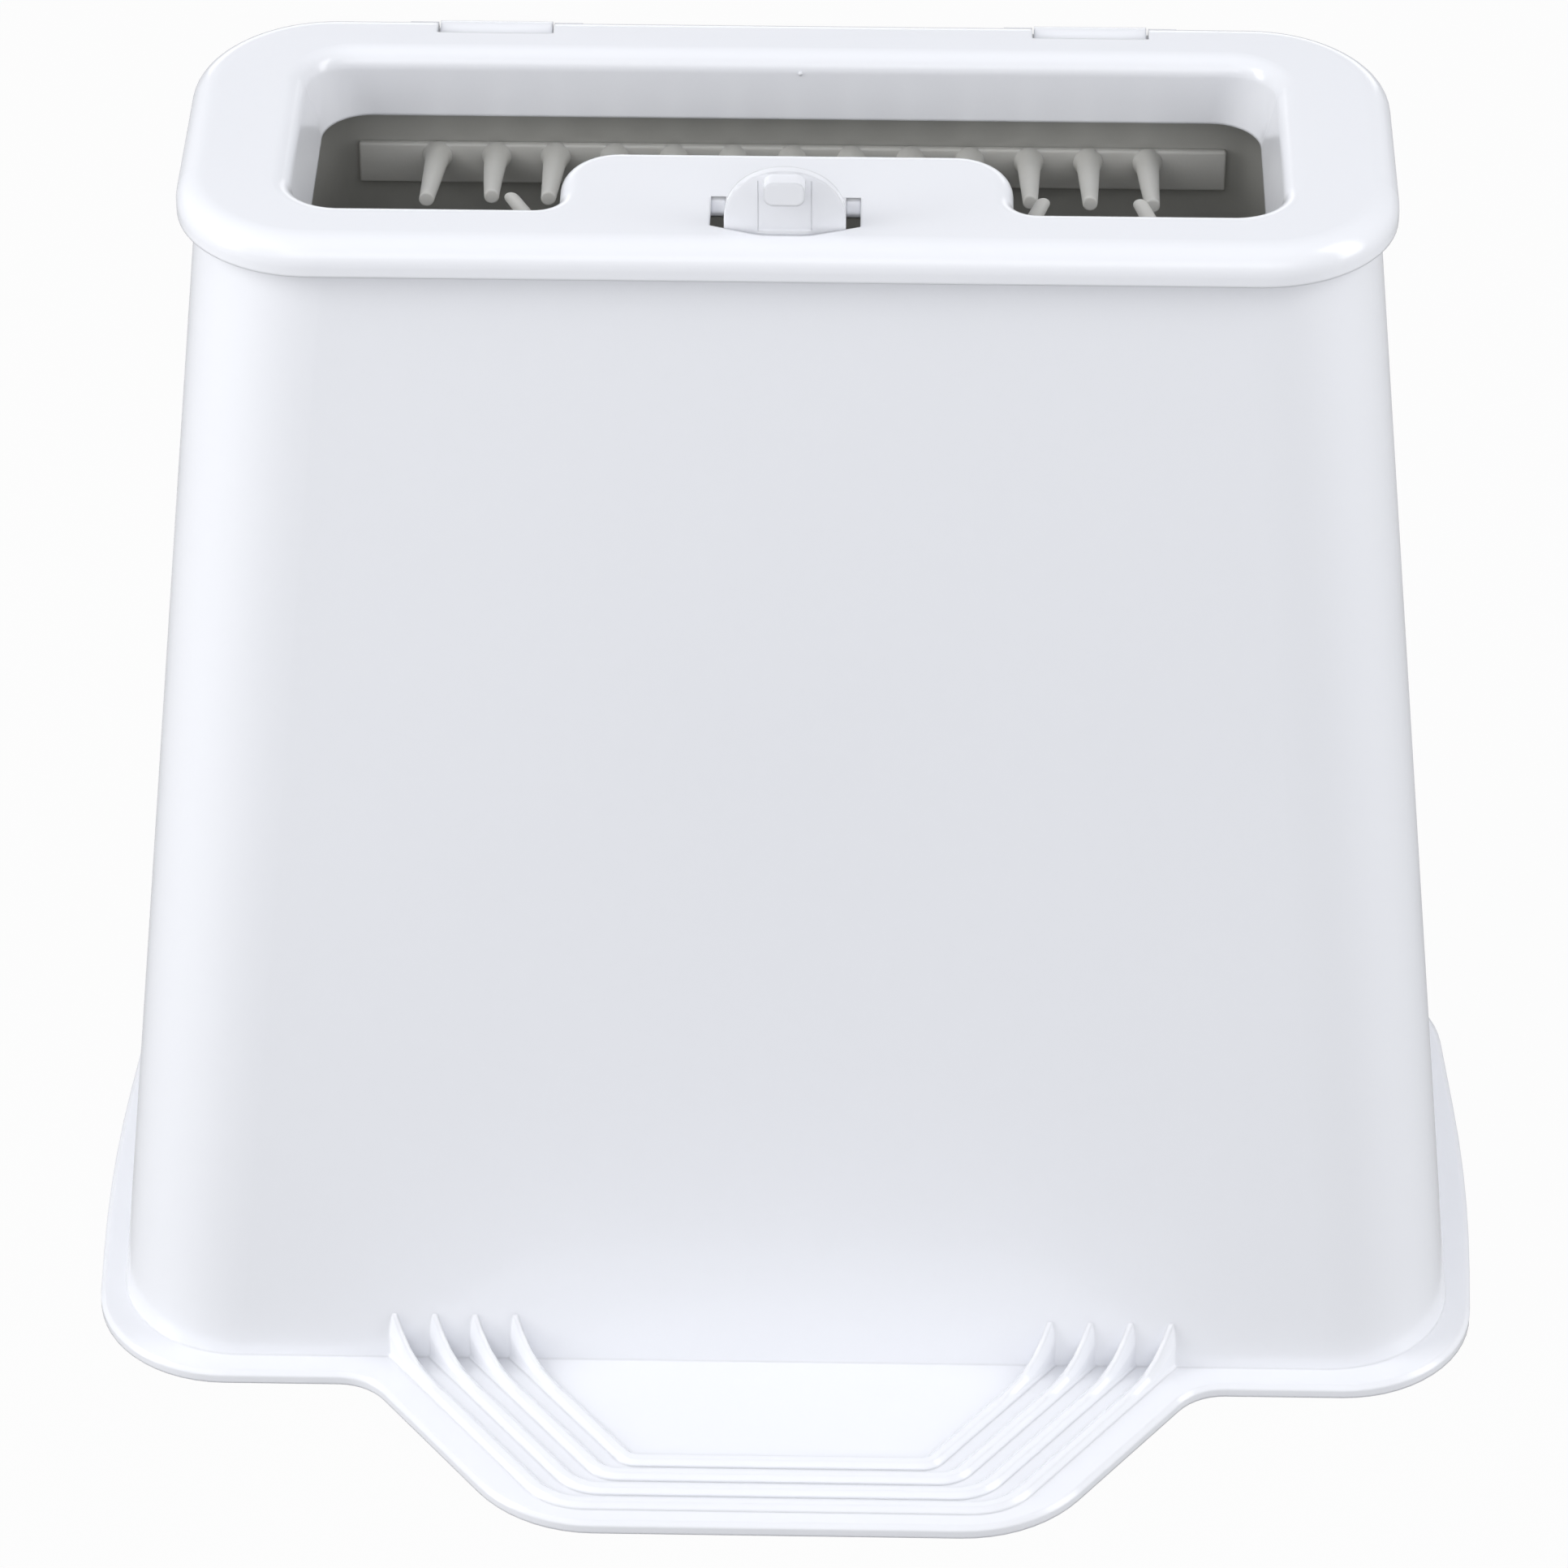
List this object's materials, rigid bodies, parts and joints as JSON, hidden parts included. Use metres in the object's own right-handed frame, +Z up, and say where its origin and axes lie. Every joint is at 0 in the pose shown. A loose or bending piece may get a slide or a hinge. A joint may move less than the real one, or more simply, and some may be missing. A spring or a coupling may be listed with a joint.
{
  "type": "pet paw washer",
  "caption": "Free-standing pet paw washer: tapered white shell with a ribbed foot tab, grey finger-lined inner tub, and a hinged snap lid with a long mouth.",
  "frame": {"origin": "on the floor, under the centre of the bounding box", "axes": "+X along the length to the right seen from the foot tab, +Y from the foot tab towards the hinge side, +Z up"},
  "size_m": [0.3096, 0.2004, 0.2906],
  "materials": {
    "white_plastic": "glossy moulded",
    "grey_plastic": "satin moulded",
    "grey_silicone": "matte silicone",
    "pin_steel": "plain"
  },
  "bodies": {
    "shell": {"outer_shell": "white_plastic", "inner_tub": "grey_plastic", "hinge_pin_left": "pin_steel", "hinge_pin_right": "pin_steel", "rear_brush_upper": "grey_silicone", "front_brush_upper": "grey_silicone", "rear_brush_middle": "grey_silicone", "front_brush_middle": "grey_silicone", "rear_brush_lower": "grey_silicone", "front_brush_lower": "grey_silicone"},
    "lid": {"lid": "white_plastic"},
    "latch": {"latch": "white_plastic"}
  },
  "joints": [
    {"name": "lid_hinge", "type": "hinge", "parent": "shell", "child": "lid", "pos_m": [0, 0.06825, 0.2728], "axis": [-1, 0, 0], "range_deg": [0, 100]},
    {"name": "latch_flex", "type": "hinge", "parent": "lid", "child": "latch", "pos_m": [0, -0.00325, 0.27535], "axis": [1, 0, 0], "range_deg": [0, 6], "stiffness_Nm_per_rad": 0.15}
  ]
}
